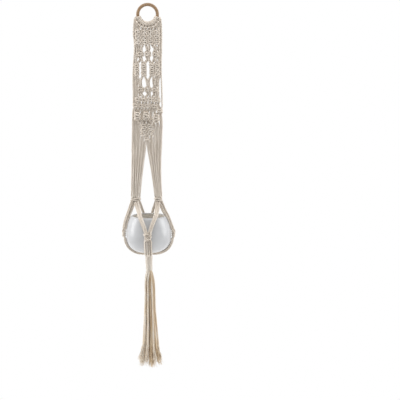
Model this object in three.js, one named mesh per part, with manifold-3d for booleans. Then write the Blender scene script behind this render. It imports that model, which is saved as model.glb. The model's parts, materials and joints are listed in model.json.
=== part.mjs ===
// Hanging macrame planter: a wooden ring, a knotted panel of twenty strands, two legs, a knotted
// cradle that holds a ceramic pot, a wrapped gathering knot and a tassel.
// Millimetres. +Z is up, X is the width, and -Y is the front. The origin is the inside top of the
// ring, where a hook carries the planter.

import * as THREE from 'three';
import { mergeVertices } from 'three/addons/utils/BufferGeometryUtils.js';
import Module from 'manifold-3d';

const wasm = await Module();
wasm.setup();

// ---------------------------------------------------------------- driving dimensions

const CORD = 4; // diameter of the cotton cord
const GAP = 0.4; // clearance between neighbouring solids

const RING_OUTER = 70; // outside diameter of the ring
const RING_BAR = 10; // diameter of the ring's bar
const RING_RADIUS = (RING_OUTER - RING_BAR) / 2;
const RING_Z = -(RING_RADIUS - RING_BAR / 2);

const HEAD_STEP = 15.6; // degrees along the ring from one lark's head to the next
const HEAD_WIDTH = 14.5; // degrees that one lark's head covers
const DROP_X = [4.6, 14.3, 23.4, 31.9, 43]; // where each head's two strands hang, from the middle out
const DROP_BOTTOM = -68;

const KNOT_WIDTH = 15; // a square knot of four strands
const KNOT_DEPTH = 10.5;
const HALF_KNOT = 6.4; // height of one half knot
const WEB_DEPTH = 4; // one layer of cord

const ROW_A = { top: -72, halves: 7, x: [-30, -10.6, 8.8, 28.2] };
const ROW_B = { top: -139, halves: 2, x: [-22.2, 0.3, 24.2] };
const ROW_C = { top: -174, halves: 6, x: [-34.2, -12.4, 11.6, 30] };
const ROW_D = { top: -248, halves: 2, x: [-22, 0.6, 22.8] };
const PANEL_LEFT = -48;
const PANEL_RIGHT = 45;

const LATTICE_TOP = -275;
const LATTICE_DEPTH = 8; // knots side by side
const LATTICE_SEAM = { left: -21.5, right: 19.5 };
const BERRY = {
  x: { left: -33.2, centre: -5.4, right: 24.6 },
  lower: { left: 0, centre: 0, right: 7 }, // how far each sits below the first
  z: -337,
  width: 22,
  depth: 10,
  height: 23,
};
const CLOSING = { top: -358, halves: 6, x: [-13.4, 5.8] };
const APEX = { top: -400, halves: 2, x: -4.2 };
const LEG_HINGE_Z = -442; // the strands bend here, below the apex knot
const PANEL_BOTTOM = LEG_HINGE_Z + 4;
const LEG_TOP = LEG_HINGE_Z - 4;
const LEG_BOTTOM = -589;
const LEG_DEPTH = 6;
const PARTING = { x: 8, below: 36 }; // how far the legs have parted, that far below their tops

const SIDE_NAME = { [-1]: 'left', 1: 'right' };
const GATHER_X = { left: -40, right: 31 };
const GATHER_TOP = -590;
const GATHER_HALVES = 2;
const GATHER_WIDTH = 27;
const GATHER_DEPTH = 13;

const BUNDLE_OF_FOUR = 4.6; // radius of a loose bundle of four strands
const BUNDLE_OF_TWO = 3;
const BELLY_KNOT_TOP = -690;
const BELLY_HALVES = 3;
const FRONT_KNOT = { distance: 77, width: 23, depth: 12 }; // distance is from the pot's axis
const SIDE_KNOT = { distance: 78.5, width: 15, depth: 15 };
const BACK_KNOT = { distance: 76.5, width: 14, depth: 10.5 };
const TAIL_Z = [-712, -726, -739, -749, -756]; // heights at which a tail lies against the pot
const TAIL_END_RADIUS = 15.5;
const BOTTOM_GATHER = { radius: 13.5, top: -760, bottom: -768 };

const POT_RIM_Z = -647;
const POT_BELLY_Z = -706;
const POT_BOTTOM_Z = -759;
const POT_RIM_RADIUS = 55;
const POT_BELLY_RADIUS = 69.5;
const POT_BASE_RADIUS = 36;
const POT_UPPER_REACH = 96.5; // half height of the ellipse that the upper wall follows
const POT_LOWER_REACH = 57.2;
const POT_LOWER_POWER = 2.6; // 2 would be an ellipse; more is fuller
const POT_WALL = 5;
const POT_FLOOR_Z = POT_BOTTOM_Z + 6;
const POT_LIP = 1.5; // rounding of the rim
const POT_SIDES = 28;

const WRAP_TOP = -770;
const WRAP_BOTTOM = -819;
const WRAP_RADIUS = { top: 12.6, bottom: 10.6 };
const WRAP_ROUNDING = 5;
const BUNDLE_SIDES = 16; // sides of the wrap, the tassel and the gathered strands
const TASSEL_TOP = WRAP_BOTTOM - 2.5;
const TASSEL_BOTTOM = -1126;
const TASSEL_FLARE = [
  [35, -1108], [31, -1085], [26, -1050], [21, -980], [16, -867], [12, -840],
]; // radius and height, bottom first

// ---------------------------------------------------------------- materials

const cotton = () => new THREE.MeshStandardMaterial({ color: 0xcbc0b2, roughness: 0.95, metalness: 0 });
const beech = () => new THREE.MeshStandardMaterial({ color: 0xb8946c, roughness: 0.55, metalness: 0 });
const glaze = () => new THREE.MeshStandardMaterial({ color: 0xe2e2e4, roughness: 0.3, metalness: 0 });

// ---------------------------------------------------------------- shape helpers

const point = (x, y, z) => new THREE.Vector3(x, y, z);

function piece(name, geometry, material) {
  geometry.deleteAttribute('normal');
  geometry.deleteAttribute('uv');
  const merged = mergeVertices(geometry, 1e-4);
  merged.computeVertexNormals();
  const mesh = new THREE.Mesh(merged, material);
  mesh.name = name;
  return mesh;
}

function toSolid(geometry) {
  const bare = geometry.clone();
  bare.deleteAttribute('normal');
  bare.deleteAttribute('uv');
  const merged = mergeVertices(bare, 1e-4);
  return new wasm.Manifold(new wasm.Mesh({
    numProp: 3,
    vertProperties: new Float32Array(merged.attributes.position.array),
    triVerts: new Uint32Array(merged.index.array),
  }));
}

function fromSolid(solid) {
  const { vertProperties, triVerts } = solid.getMesh();
  const geometry = new THREE.BufferGeometry();
  geometry.setAttribute('position', new THREE.BufferAttribute(vertProperties, 3));
  geometry.setIndex(new THREE.BufferAttribute(triVerts, 1));
  return geometry;
}

const join = (...geometries) => fromSolid(geometries.map(toSolid).reduce((a, b) => a.add(b)));

// A flat section with round ends, for a path in the XZ plane: `across` lies in that plane, and
// `deep` along Y.
function flatSection(across, deep) {
  const end = Math.min(across, deep) / 2;
  const reach = Math.max(across, deep) / 2 - end;
  const start = across > deep ? 0 : -Math.PI / 2;
  const [x, y] = across > deep ? [0, reach] : [reach, 0];
  const shape = new THREE.Shape();
  shape.absarc(x, y, end, start, start + Math.PI, false);
  shape.absarc(-x, -y, end, start + Math.PI, start + 2 * Math.PI, false);
  return shape;
}

function roundSection(radius) {
  return new THREE.Shape().absarc(0, 0, radius, 0, 2 * Math.PI, false);
}

function sweepAlong(extrudePath, section, steps, curveSegments) {
  return new THREE.ExtrudeGeometry(section, { steps, curveSegments, bevelEnabled: false, extrudePath });
}

function sweep(section, points, steps, curveSegments) {
  return sweepAlong(new THREE.CatmullRomCurve3(points), section, steps, curveSegments);
}

// A solid of revolution about Z, from [radius, z] pairs that start and end on the axis, bottom first.
function turned(profile, sides) {
  const points = profile.map(([r, z]) => new THREE.Vector2(r, z));
  return new THREE.LatheGeometry(points, sides).rotateX(Math.PI / 2);
}

// A flat sheet of strands: an outline in X and Z, one layer of cord deep.
function web(outline, depth = WEB_DEPTH) {
  const shape = new THREE.Shape(outline.map(([x, z]) => new THREE.Vector2(x, z)));
  const sheet = new THREE.ExtrudeGeometry(shape, { depth, bevelEnabled: false });
  return sheet.translate(0, 0, -depth / 2).rotateX(Math.PI / 2);
}

// A column of half knots hanging from z = 0: each half knot bulges, and necks in to the next.
function knotColumn(halves, width = KNOT_WIDTH, depth = KNOT_DEPTH, half = HALF_KNOT) {
  const bulge = width / 2;
  const neck = bulge * 0.84;
  const profile = [[0, -halves * half], [neck * 0.8, -halves * half]];
  for (let i = halves - 1; i >= 0; i -= 1) {
    profile.push([bulge, -(i + 0.5) * half]);
    profile.push([i === 0 ? neck * 0.8 : neck, -i * half]);
  }
  profile.push([0, 0]);
  return turned(profile, 8).scale(1, depth / width, 1);
}

// ---------------------------------------------------------------- ring and lark's heads

function woodRing() {
  const geometry = new THREE.TorusGeometry(RING_RADIUS, RING_BAR / 2, 10, 40).rotateX(Math.PI / 2);
  return piece('wood_ring', geometry.translate(0, 0, RING_Z), beech());
}

// A point in the ring's plane, by its angle from the bottom and its distance from the ring's centre.
function ringPoint(degrees, radius) {
  const angle = THREE.MathUtils.degToRad(degrees);
  return point(radius * Math.sin(angle), 0, RING_Z - radius * Math.cos(angle));
}

class RingArc extends THREE.Curve {
  constructor(middle, width) {
    super();
    this.middle = middle;
    this.width = width;
  }

  getPoint(t) {
    return ringPoint(this.middle + (t - 0.5) * this.width, RING_RADIUS);
  }
}

// A collar of cord round the bar, joined to the pair of strands that hangs from it.
function larksHead(name, degrees, dropX) {
  const inner = RING_BAR / 2 + GAP;
  const outer = inner + CORD;
  const collar = roundSection(outer);
  collar.holes.push(new THREE.Path().absarc(0, 0, inner, 0, 2 * Math.PI, true));
  const wall = RING_RADIUS + inner + CORD / 2;
  const drop = [
    ringPoint(degrees, wall),
    ringPoint(degrees, wall + 1.2 * CORD),
    point(dropX, 0, DROP_BOTTOM),
  ];
  if (Math.abs(degrees) < 2 * HEAD_STEP) drop.splice(1, 1);
  return piece(name, join(
    sweepAlong(new RingArc(degrees, HEAD_WIDTH), collar, 2, 5),
    sweep(flatSection(2 * CORD - 2 * GAP, CORD), drop, 3, 2),
  ), cotton());
}

function larksHeads() {
  const heads = [];
  for (let i = 0; i < 2 * DROP_X.length; i += 1) {
    const place = i - DROP_X.length + 0.5;
    const dropX = Math.sign(place) * DROP_X[Math.floor(Math.abs(place))];
    heads.push(larksHead(`larks_head_${String(i + 1).padStart(2, '0')}`, place * HEAD_STEP, dropX));
  }
  return heads;
}

// ---------------------------------------------------------------- knotted panel

function knotRow(letter, row) {
  return row.x.map((x, i) => (
    piece(`square_knots_${letter}${i + 1}`, knotColumn(row.halves).translate(x, 0, row.top), cotton())
  ));
}

// One square knot between two full rows: its four strands come in and leave as two slanting pairs.
function crossingKnot(name, x, row, above, below) {
  const top = above.z - 1;
  const bottom = below.z + 1;
  const knotTop = row.top;
  const knotBottom = row.top - row.halves * HALF_KNOT;
  const pair = 2 * CORD;
  const waist = KNOT_WIDTH / 2 - 1;
  const slants = web([
    [above.left, top], [above.left + pair, top], [x, knotTop + 4],
    [above.right - pair, top], [above.right, top], [x + waist, knotTop],
    [x + waist, knotBottom], [below.right, bottom], [below.right - pair, bottom],
    [x, knotBottom - 4], [below.left + pair, bottom], [below.left, bottom],
    [x - waist, knotBottom], [x - waist, knotTop],
  ]);
  return piece(name, join(slants, knotColumn(row.halves).translate(x, 0, knotTop)), cotton());
}

// The slanting pairs reach from the middle of one column above or below to the middle of the next.
function crossingRow(letter, row, aboveRow, belowRow) {
  const reach = (full, i, z) => ({ left: full.x[i] + 0.5, right: full.x[i + 1] - 0.5, z });
  const aboveZ = aboveRow.top - aboveRow.halves * HALF_KNOT;
  return row.x.map((x, i) => crossingKnot(
    `crossing_knot_${letter}${i + 1}`, x, row,
    reach(aboveRow, i, aboveZ), reach(belowRow, i, belowRow.top),
  ));
}

// Straight strands down one edge of the panel: two beside each full row, four beside a crossing row.
function outerStrands(name, edge, side, column) {
  const beside = (x) => x + side * (KNOT_WIDTH / 2 + GAP);
  const middle = (x) => x + side * 0.5;
  const bottom = (row) => row.top - row.halves * HALF_KNOT;
  return piece(name, web([
    [edge, ROW_A.top],
    [beside(column.a), ROW_A.top],
    [beside(column.a), bottom(ROW_A)],
    [middle(column.a), bottom(ROW_A) - 1],
    [beside(column.b), ROW_B.top],
    [beside(column.b), bottom(ROW_B)],
    [middle(column.c), ROW_C.top + 1],
    [beside(column.c), ROW_C.top],
    [beside(column.c), bottom(ROW_C)],
    [middle(column.c), bottom(ROW_C) - 1],
    [beside(column.d), ROW_D.top],
    [beside(column.d), bottom(ROW_D)],
    [middle(column.c), LATTICE_TOP + 2],
    [edge, LATTICE_TOP + 2],
  ]), cotton());
}

function panel() {
  const full = { ...ROW_C, top: LATTICE_TOP };
  const column = (i) => ({ a: ROW_A.x.at(i), b: ROW_B.x.at(i), c: ROW_C.x.at(i), d: ROW_D.x.at(i) });
  return [
    ...knotRow('a', ROW_A),
    ...crossingRow('b', ROW_B, ROW_A, ROW_C),
    ...knotRow('c', ROW_C),
    ...crossingRow('d', ROW_D, ROW_C, full),
    outerStrands('outer_strands_left', PANEL_LEFT, -1, column(0)),
    outerStrands('outer_strands_right', PANEL_RIGHT, 1, column(-1)),
  ];
}

// ---------------------------------------------------------------- lattice, berry knots and apex

// The lattice closes in a V above the apex knot; the strands outside the V run straight to the legs.
function lattice() {
  const knotTop = CLOSING.top + 2;
  const knotBottom = CLOSING.top - CLOSING.halves * HALF_KNOT - 2;
  const apexBottom = APEX.top - APEX.halves * HALF_KNOT - 1;
  const outer = (edge, seam, vEdge, apexEdge, middle) => web([
    [edge, LATTICE_TOP], [seam, LATTICE_TOP], [seam, BERRY.z - 8], [vEdge, knotTop],
    [vEdge, knotBottom], [apexEdge, APEX.top], [apexEdge, apexBottom], [middle, apexBottom - 2],
    [middle, PANEL_BOTTOM], [edge, PANEL_BOTTOM],
  ], LATTICE_DEPTH);
  const [leftKnot, rightKnot] = CLOSING.x;
  const vLeft = leftKnot - KNOT_WIDTH / 2 - 1;
  const vRight = rightKnot + KNOT_WIDTH / 2 + 1;
  const apex = KNOT_WIDTH / 2 + 1;
  const centre = web([
    [LATTICE_SEAM.left + GAP, LATTICE_TOP], [LATTICE_SEAM.right - GAP, LATTICE_TOP],
    [LATTICE_SEAM.right - GAP, BERRY.z - 8], [vRight - GAP, knotTop], [vLeft + GAP, knotTop],
    [LATTICE_SEAM.left + GAP, BERRY.z - 8],
  ], LATTICE_DEPTH);
  const left = outer(PANEL_LEFT, LATTICE_SEAM.left, vLeft, APEX.x - apex, APEX.x - GAP);
  const right = outer(PANEL_RIGHT, LATTICE_SEAM.right, vRight, APEX.x + apex, APEX.x + GAP);
  return [
    piece('lattice_left', left, cotton()),
    piece('lattice_centre', centre, cotton()),
    piece('lattice_right', right, cotton()),
    ...CLOSING.x.map((x, i) => piece(
      `closing_knots_${i === 0 ? 'left' : 'right'}`,
      knotColumn(CLOSING.halves).translate(x, 0, CLOSING.top),
      cotton(),
    )),
    piece('apex_knot', knotColumn(APEX.halves).translate(APEX.x, 0, APEX.top), cotton()),
  ];
}

// A berry knot is a short column rolled up into a ball on the front of the lattice.
function berryKnots() {
  return Object.entries(BERRY.x).map(([side, x]) => {
    const ball = new THREE.SphereGeometry(0.5, 12, 8).scale(BERRY.width, BERRY.depth, BERRY.height);
    const y = -(LATTICE_DEPTH + BERRY.depth) / 2 - GAP;
    return piece(`berry_knot_${side}`, ball.translate(x, y, BERRY.z - BERRY.lower[side]), cotton());
  });
}

// ---------------------------------------------------------------- legs and gather knots

function leg(name, side) {
  const middle = APEX.x + side * GAP;
  return piece(name, web([
    [side < 0 ? PANEL_LEFT - 2 : PANEL_RIGHT, LEG_TOP],
    [middle, LEG_TOP],
    [middle + side * PARTING.x, LEG_TOP - PARTING.below],
    [GATHER_X[SIDE_NAME[side]] - side * GATHER_WIDTH / 2, LEG_BOTTOM],
    [GATHER_X[SIDE_NAME[side]] + side * GATHER_WIDTH / 2, LEG_BOTTOM],
  ], LEG_DEPTH), cotton());
}

function gatherKnot(name, side) {
  const column = knotColumn(GATHER_HALVES, GATHER_WIDTH, GATHER_DEPTH);
  return piece(name, column.translate(GATHER_X[SIDE_NAME[side]], 0, GATHER_TOP), cotton());
}

// ---------------------------------------------------------------- pot

// Outside radius at height z: an ellipse above the belly, a fuller curve below it.
function potRadius(z) {
  const above = z > POT_BELLY_Z;
  const power = above ? 2 : POT_LOWER_POWER;
  const reach = above ? POT_UPPER_REACH : POT_LOWER_REACH;
  return POT_BELLY_RADIUS * (1 - (Math.abs(z - POT_BELLY_Z) / reach) ** power) ** (1 / power);
}

function pot() {
  const wall = (z) => [potRadius(z), z];
  const lining = (z) => [potRadius(z) - POT_WALL, z];
  const lower = [POT_BOTTOM_Z, -756, -751, -743, -733, -720];
  const upper = [POT_BELLY_Z, -690, -672, -657, POT_RIM_Z - POT_LIP];
  return piece('pot', turned([
    [0, POT_BOTTOM_Z],
    ...lower.map(wall),
    ...upper.map(wall),
    [POT_RIM_RADIUS - POT_LIP, POT_RIM_Z],
    [POT_RIM_RADIUS - POT_WALL + POT_LIP, POT_RIM_Z],
    ...upper.toReversed().map(lining),
    ...lower.slice(3).toReversed().map(lining),
    [POT_BASE_RADIUS, POT_FLOOR_Z],
    [0, POT_FLOOR_Z],
  ], POT_SIDES), glaze());
}

// ---------------------------------------------------------------- cradle

function arm(name, radius, points) {
  return piece(name, sweep(roundSection(radius), points, 10, 5), cotton());
}

// Each leg's strands part below its gather knot and bend over the pot's rim to the belly knots.
function arms(side) {
  const gather = GATHER_X[SIDE_NAME[side]];
  const at = (x, y, z) => point(side * x, y, z);
  return [
    arm(`side_arm_${SIDE_NAME[side]}`, BUNDLE_OF_FOUR, [
      point(gather + side * 7, 0, -609), at(52, 0, -624), at(60, 0, -641.5),
      at(70.5, 0, -668), at(76.5, 0, -688),
    ]),
    arm(`front_arm_${SIDE_NAME[side]}`, BUNDLE_OF_FOUR, [
      point(gather - side * 4, -9, -608), at(29, -24, -624), at(26, -43, -638), at(21.5, -56, -645.5),
      at(14.5, -67.5, -663), at(8, -74.5, -683),
    ]),
    arm(`back_arm_${SIDE_NAME[side]}`, BUNDLE_OF_TWO, [
      point(gather - side * 7, 7, -606), at(25, 24, -624), at(21, 45, -639), at(17.5, 57, -646.5),
      at(11, 67, -664), at(5, 72.5, -685),
    ]),
  ];
}

function bellyKnot(name, turns, { distance, width, depth }) {
  const column = knotColumn(BELLY_HALVES, width, depth).translate(0, -distance, BELLY_KNOT_TOP);
  return piece(name, column.rotateZ(turns * Math.PI / 2), cotton());
}

// A flat band of strands from a belly knot down round the pot to its underside.
function tail(name, turns, width) {
  const clear = CORD / 2 + 2 * GAP;
  const roundPot = TAIL_Z.map((z) => {
    const step = 0.5;
    const slope = (potRadius(z + step) - potRadius(z - step)) / (2 * step);
    const scale = clear / Math.hypot(1, slope);
    return point(potRadius(z) + scale, 0, z - slope * scale);
  });
  const under = [point(30, 0, POT_BOTTOM_Z - clear - 1), point(TAIL_END_RADIUS, 0, POT_BOTTOM_Z - clear - 2)];
  const band = sweep(flatSection(CORD, width), [...roundPot, ...under], 12, 2);
  return piece(name, band.rotateZ((turns - 1) * Math.PI / 2), cotton());
}

function cradle() {
  return [
    ...arms(-1),
    ...arms(1),
    bellyKnot('front_knot', 0, FRONT_KNOT),
    bellyKnot('side_knot_right', 1, SIDE_KNOT),
    bellyKnot('back_knot', 2, BACK_KNOT),
    bellyKnot('side_knot_left', 3, SIDE_KNOT),
    tail('front_tail', 0, 6 * CORD),
    tail('side_tail_right', 1, 4 * CORD),
    tail('back_tail', 2, 4 * CORD),
    tail('side_tail_left', 3, 4 * CORD),
    piece('bottom_gather', turned([
      [0, BOTTOM_GATHER.bottom],
      [9, BOTTOM_GATHER.bottom + 0.4],
      [BOTTOM_GATHER.radius, BOTTOM_GATHER.top - 3],
      [11, BOTTOM_GATHER.top - 0.2],
      [0, BOTTOM_GATHER.top],
    ], BUNDLE_SIDES), cotton()),
  ];
}

// ---------------------------------------------------------------- gathering wrap and tassel

function gatheringWrap() {
  return piece('gathering_wrap', turned([
    [0, WRAP_BOTTOM], [6, WRAP_BOTTOM + 0.4], [WRAP_RADIUS.bottom, WRAP_BOTTOM + WRAP_ROUNDING],
    [WRAP_RADIUS.top, WRAP_TOP - WRAP_ROUNDING], [WRAP_RADIUS.top - 3, WRAP_TOP - 0.6], [0, WRAP_TOP],
  ], BUNDLE_SIDES), cotton());
}

// The free ends of the strands, as one bundle that flares where the cords come untwisted.
function tassel() {
  return piece('tassel', turned([
    [0, TASSEL_BOTTOM], [24, TASSEL_BOTTOM + 2], ...TASSEL_FLARE,
    [8, TASSEL_TOP - 7], [3, TASSEL_TOP - 0.7], [0, TASSEL_TOP],
  ], BUNDLE_SIDES), cotton());
}

// ---------------------------------------------------------------- the planter

const planter = new THREE.Group();
planter.add(
  woodRing(),
  ...larksHeads(),
  ...panel(),
  ...lattice(),
  ...berryKnots(),
  leg('leg_left', -1),
  leg('leg_right', 1),
  gatherKnot('gather_knot_left', -1),
  gatherKnot('gather_knot_right', 1),
  pot(),
  ...cradle(),
  gatheringWrap(),
  tassel(),
);

export default planter;
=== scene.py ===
# Looks of the hanging macrame planter, built round the imported frame.
# Twenty strands run unbroken from the ring to the tassel. Each strand's centreline is laid out in
# millimetres, smoothed, and swept as a three-ply twisted cord, then cut where the planter's sections
# end. The key points of the routes are given; knots, coils and legs are worked out.

import json
import math
import random

import bpy
import numpy as np
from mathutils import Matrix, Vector


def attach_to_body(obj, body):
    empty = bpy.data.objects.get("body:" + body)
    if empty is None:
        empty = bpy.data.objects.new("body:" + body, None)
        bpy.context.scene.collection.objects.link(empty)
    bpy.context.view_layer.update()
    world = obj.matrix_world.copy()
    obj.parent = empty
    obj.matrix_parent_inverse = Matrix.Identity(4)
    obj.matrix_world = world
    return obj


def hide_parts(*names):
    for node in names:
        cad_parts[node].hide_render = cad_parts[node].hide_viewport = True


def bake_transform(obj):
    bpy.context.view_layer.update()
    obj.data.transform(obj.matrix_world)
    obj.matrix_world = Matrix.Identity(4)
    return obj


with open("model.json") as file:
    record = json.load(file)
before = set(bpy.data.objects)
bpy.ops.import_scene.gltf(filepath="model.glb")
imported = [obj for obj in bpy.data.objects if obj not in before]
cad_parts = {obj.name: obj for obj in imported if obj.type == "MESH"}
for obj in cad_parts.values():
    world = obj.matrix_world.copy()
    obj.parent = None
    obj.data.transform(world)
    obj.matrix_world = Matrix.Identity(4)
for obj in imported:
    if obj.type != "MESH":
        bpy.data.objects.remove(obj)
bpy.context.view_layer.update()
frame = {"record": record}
scene = bpy.context.scene
rng = random.Random(11)

MM = 0.001

# ------------ dimensions, millimetres

CORD_RADIUS = 2.45      # mean radius of a strand that hangs free
PLY_RELIEF = 0.13       # how far the plies stand out, as a share of the radius
SIDES = 12              # points round a strand, four to a ply
STEP = 1.6              # distance from one ring of points to the next
SUBS = 10               # points worked out for each stretch between two key points
PITCH = 16.0            # length of one full twist
STRAND_OFFSET = 5000.0  # added to the length along a strand, times its number, to tell strands apart

RING_RADIUS = 30.0
RING_BAR = 5.0
RING_Z = -25.0
HEAD_STEP = 15.6        # degrees along the ring from one lark's head to the next
HEADS = 10

HALF = 6.4              # height of one half knot
KNOT_VARIATION = 0.04   # how much one half knot differs from the next in size
CORE_PLACE = 0.47       # how far a knot's two cores lie from its middle, as a share of its half width
ROW_A = {"top": -72, "halves": 7, "x": [-29.8, -10.5, 8.9, 28.2], "width": [6.5, 6.5, 6.5, 6.4]}
ROW_B = {"top": -139, "halves": 2, "x": [-22.2, 0.3, 24.2], "width": [6.9, 7.1, 6.8],
         "above": [[-23.2, 0.8, 24.7], [-21.4, 0.6, 22.8]],
         "below": [[-23.2, -0.4, 23.6], [-21.0, 0.8, 20.6]]}
ROW_C = {"top": -174, "halves": 6, "x": [-34.2, -12.2, 12.3, 29.4], "width": [4.9, 5.4, 5.2, 5.3]}
ROW_D = {"top": -248, "halves": 2, "x": [-22.0, 0.6, 22.8], "width": [7.0, 7.2, 6.9],
         "above": [[-25.4, -0.9, 20.6], [-22.8, 0.6, 21.0]],
         "below": [[-23.2, 1.8, 21.4], [-22.4, 2.2, 21.2]]}
LATTICE_A = {"top": -278, "x": [-30.2, -10.2, 10.2, 28.4], "width": [6.4, 6.6, 6.6, 6.3]}
APEX_X = -4.2
PANEL_BOTTOM = -438
LEG_SPLIT = -470        # where each leg is cut in two
GATHER_TOP = -590
GATHER_X = [-40, 30.6]
GATHER_SPREAD = [1.44, 1.13]    # widths of the left and right gather knots, as shares of a plain one
BELLY_TOP = -690
POT_BOTTOM = -759
POT_BELLY = -706
POT_RADIUS = 69.5
WRAP_TOP = -770
WRAP_BOTTOM = -819
WRAP_LEAN = 1.0         # how far the wrap's lower end stands to the right

# ------------ camera


def new_object(name, data):
    obj = bpy.data.objects.new(name, data)
    scene.collection.objects.link(obj)
    return obj


CAMERA_PLACE = (0.160, -4.4506, 0.0674)     # metres
CAMERA_TILT = 8.5                           # degrees below level


def make_camera():
    data = bpy.data.cameras.new("camera")
    data.lens = 130.2
    data.sensor_width = 36
    camera = new_object("camera", data)
    camera.location = CAMERA_PLACE
    camera.rotation_euler = (math.radians(90 - CAMERA_TILT), 0, 0)
    scene.camera = camera


make_camera()

# ------------ strands


class Strand:
    """A centreline of key points. Each stretch between keys belongs to the piece named last."""

    def __init__(self, number):
        self.number = number
        self.keys = []
        self.labels = []

    def go(self, label, *points):
        for p in points:
            p = np.array(p, float)
            if self.keys and np.linalg.norm(p - self.keys[-1]) < 0.4:
                continue
            self.keys.append(p)
            self.labels.append(label)


def smooth(keys, subs=SUBS):
    """A centripetal spline through the keys, as a fine polyline."""
    keys = np.array(keys, float)
    gaps = np.sqrt(np.linalg.norm(np.diff(keys, axis=0), axis=1))
    t = np.concatenate([[0], np.cumsum(gaps)])
    slope = np.diff(keys, axis=0) / gaps[:, None]
    tangent = np.empty_like(keys)
    tangent[0], tangent[-1] = slope[0], slope[-1]
    both = (keys[2:] - keys[:-2]) / (t[2:] - t[:-2])[:, None]
    tangent[1:-1] = slope[:-1] - both + slope[1:]
    u = np.linspace(0, 1, subs, endpoint=False)[None, :, None]
    h00, h10 = 2 * u**3 - 3 * u**2 + 1, u**3 - 2 * u**2 + u
    h01, h11 = -2 * u**3 + 3 * u**2, u**3 - u**2
    g = gaps[:, None, None]
    fine = (
        h00 * keys[:-1, None] + h10 * g * tangent[:-1, None]
        + h01 * keys[1:, None] + h11 * g * tangent[1:, None]
    )
    return np.vstack([fine.reshape(-1, 3), keys[-1:]])


def lengths_along(line):
    return np.concatenate([[0], np.cumsum(np.linalg.norm(np.diff(line, axis=0), axis=1))])


def even_line(keys):
    """Evenly spaced points on the spline through the keys, their lengths along it, and the spline's own."""
    fine = smooth(keys)
    length = lengths_along(fine)
    marks = np.linspace(0, length[-1], int(round(length[-1] / STEP)) + 1)
    return np.stack([np.interp(marks, length, fine[:, a]) for a in range(3)], 1), marks, length


def tangents(line):
    along = np.gradient(line, axis=0)
    return along / np.linalg.norm(along, axis=1)[:, None]


def frames(line):
    """Two directions square to a line, which turn as little as possible along it."""
    tangent = tangents(line)
    normal = np.empty_like(line)
    start = np.cross(tangent[0], (0.31, 0.92, 0.23))
    normal[0] = start / np.linalg.norm(start)
    for i in range(1, len(line)):
        n = normal[i - 1] - tangent[i] * (normal[i - 1] @ tangent[i])
        normal[i] = n / np.linalg.norm(n)
    return normal, np.cross(tangent, normal)


class Pile:
    """Tubes gathered for one piece."""

    def __init__(self):
        self.points, self.quads, self.caps, self.uv = [], [], [], []
        self.count = 0

    def tube(self, rings, along, loop=False):
        """Adds a tube through rings of points at lengths along it. A loop has one length more, at its end."""
        n, m = rings.shape[:2]
        base = self.count
        self.points.append(rings.reshape(-1, 3))
        self.count += n * m
        i, k = np.meshgrid(np.arange(n if loop else n - 1), np.arange(m), indexing="ij")
        i, k = i.ravel(), k.ravel()
        i2, k2 = (i + 1) % n, (k + 1) % m
        self.quads.append(base + np.stack([i * m + k, i * m + k2, i2 * m + k2, i2 * m + k], 1))
        around = np.stack([k, k + 1, k + 1, k], 1) / m
        length = np.stack([along[i], along[i], along[i + 1], along[i + 1]], 1)
        self.uv.append(np.stack([around, length], 2).reshape(-1, 2))
        if not loop:
            self.caps.append([base + j for j in range(m)][::-1])
            self.caps.append([base + (n - 1) * m + j for j in range(m)])

    def build(self, name, material):
        points = np.vstack(self.points) * MM
        quads = np.vstack(self.quads)
        mesh = bpy.data.meshes.new(name)
        mesh.from_pydata(points.tolist(), [], quads.tolist() + self.caps)
        layer = mesh.uv_layers.new(name="cord")
        uv = np.zeros((len(mesh.loops), 2))
        flat = np.vstack(self.uv)
        uv[: len(flat)] = flat
        layer.data.foreach_set("uv", uv.ravel())
        mesh.polygons.foreach_set("use_smooth", [True] * len(quads) + [False] * len(self.caps))
        # The edges of the end caps are sharp, so that two pieces meet at a cut without a shaded seam.
        edge_of_loop = np.zeros(len(mesh.loops), dtype=np.int32)
        mesh.loops.foreach_get("edge_index", edge_of_loop)
        sharp = np.zeros(len(mesh.edges), dtype=bool)
        sharp[edge_of_loop[len(flat):]] = True
        mesh.edges.foreach_set("use_edge_sharp", sharp)
        mesh.materials.append(material)
        return new_object(name, mesh)


piles = {}

# How much tighter than a free strand the cord is drawn in each kind of knot.
DRAWN = {"larks_head": 0.86, "gather_knot": 0.84, "front_knot": 0.94, "side_knot": 0.92, "back_knot": 0.92,
         "square_knots": 0.97, "crossing_knot": 0.97, "berry_knot": 0.97, "bottom_gather": 0.8}


def drawn(label):
    for name, share in DRAWN.items():
        if label.startswith(name):
            return share
    return 1.0


def ply_profile(angles, relief=PLY_RELIEF):
    """How far three plies stand out round a strand, as a share of its radius."""
    return 1 + relief * (1 - 2 * np.abs(np.sin(1.5 * angles)) ** 1.3)


def sweep(line, phase, start_length=0.0, radius=CORD_RADIUS, relief=PLY_RELIEF, pitch=PITCH):
    """Rings of points round a line, turning with the twist of the plies."""
    along = lengths_along(line) + start_length
    normal, side = frames(line)
    ring = np.arange(SIDES) * 2 * math.pi / SIDES
    turn = ring[None, :] + phase + (2 * math.pi / pitch) * along[:, None]
    reach = (np.broadcast_to(radius, len(line))[:, None] * ply_profile(ring, relief))[:, :, None]
    return line[:, None] + reach * (
        np.cos(turn)[:, :, None] * normal[:, None] + np.sin(turn)[:, :, None] * side[:, None]
    ), along


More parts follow.
